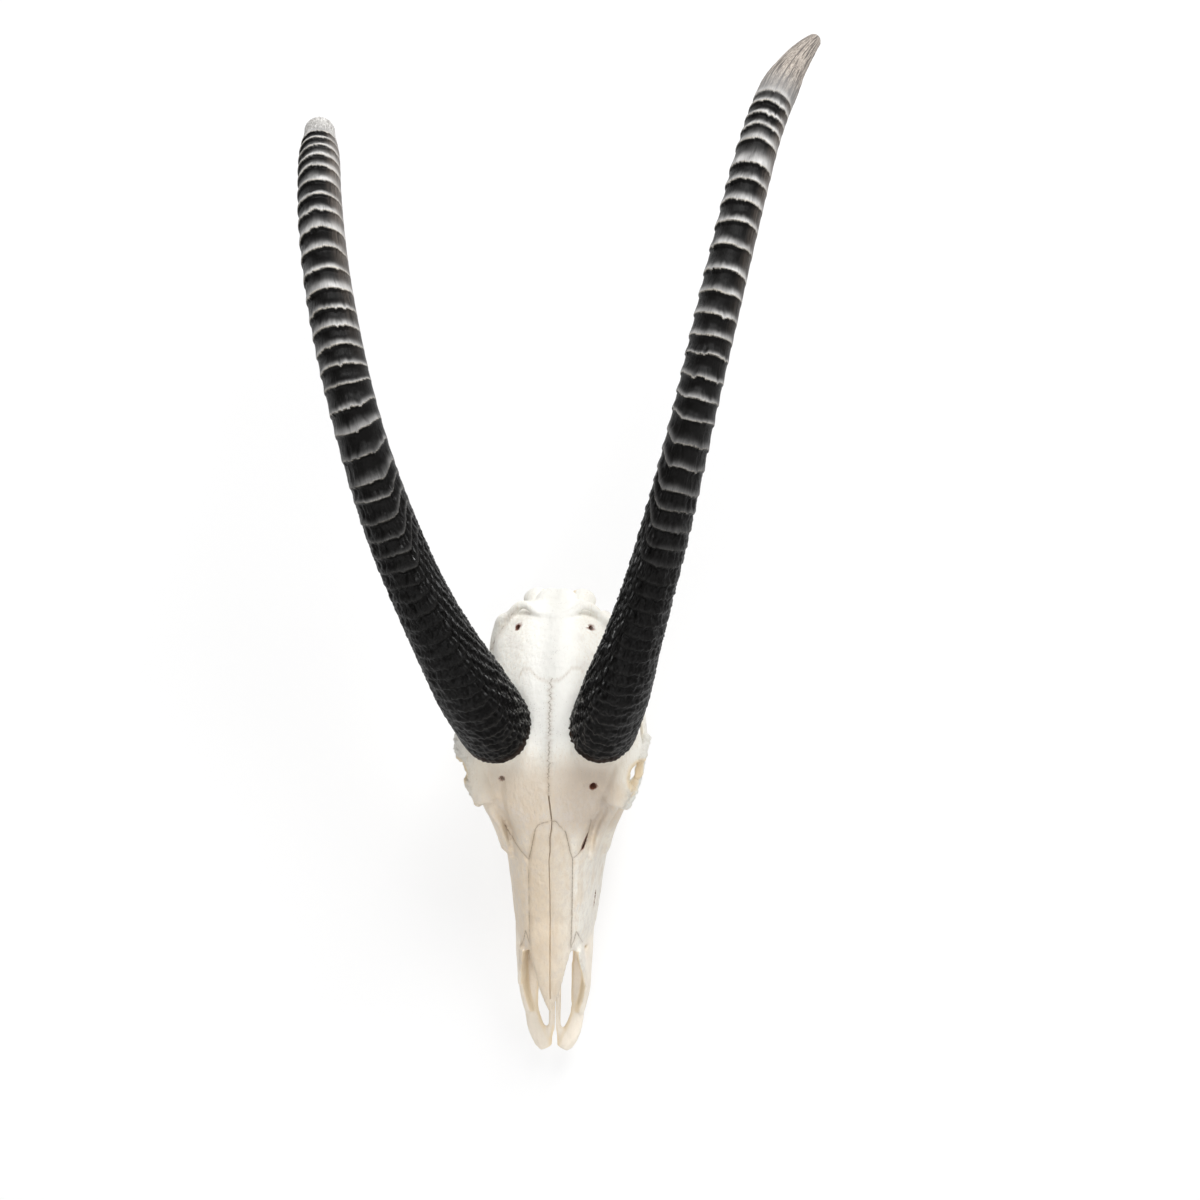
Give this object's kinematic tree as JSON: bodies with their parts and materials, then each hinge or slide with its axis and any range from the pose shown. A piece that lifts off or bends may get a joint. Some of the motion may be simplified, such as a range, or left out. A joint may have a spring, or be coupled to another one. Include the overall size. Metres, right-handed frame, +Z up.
{
  "type": "sable antelope skull with horns",
  "caption": "Bleached antelope skull without its lower jaw, with ringed swept-back horns and upper cheek teeth, resting on its teeth and jugular points.",
  "frame": {"origin": "middle of the bounding box, on the plane that the skull rests on", "axes": "+Z up, the muzzle points to -Y, the horns sweep back to +Y, left and right are as seen from above with the muzzle towards the viewer"},
  "size_m": [0.4298, 0.876, 0.3173],
  "materials": {
    "bone": "matte",
    "horn": "satin",
    "tooth": "satin"
  },
  "bodies": {
    "root": {"skull": "bone", "horn_left": "horn", "horn_right": "horn", "premolar_2_left": "tooth", "premolar_3_left": "tooth", "premolar_4_left": "tooth", "molar_1_left": "tooth", "molar_2_left": "tooth", "molar_3_left": "tooth", "premolar_2_right": "tooth", "premolar_3_right": "tooth", "premolar_4_right": "tooth", "molar_1_right": "tooth", "molar_2_right": "tooth", "molar_3_right": "tooth"}
  },
  "joints": []
}
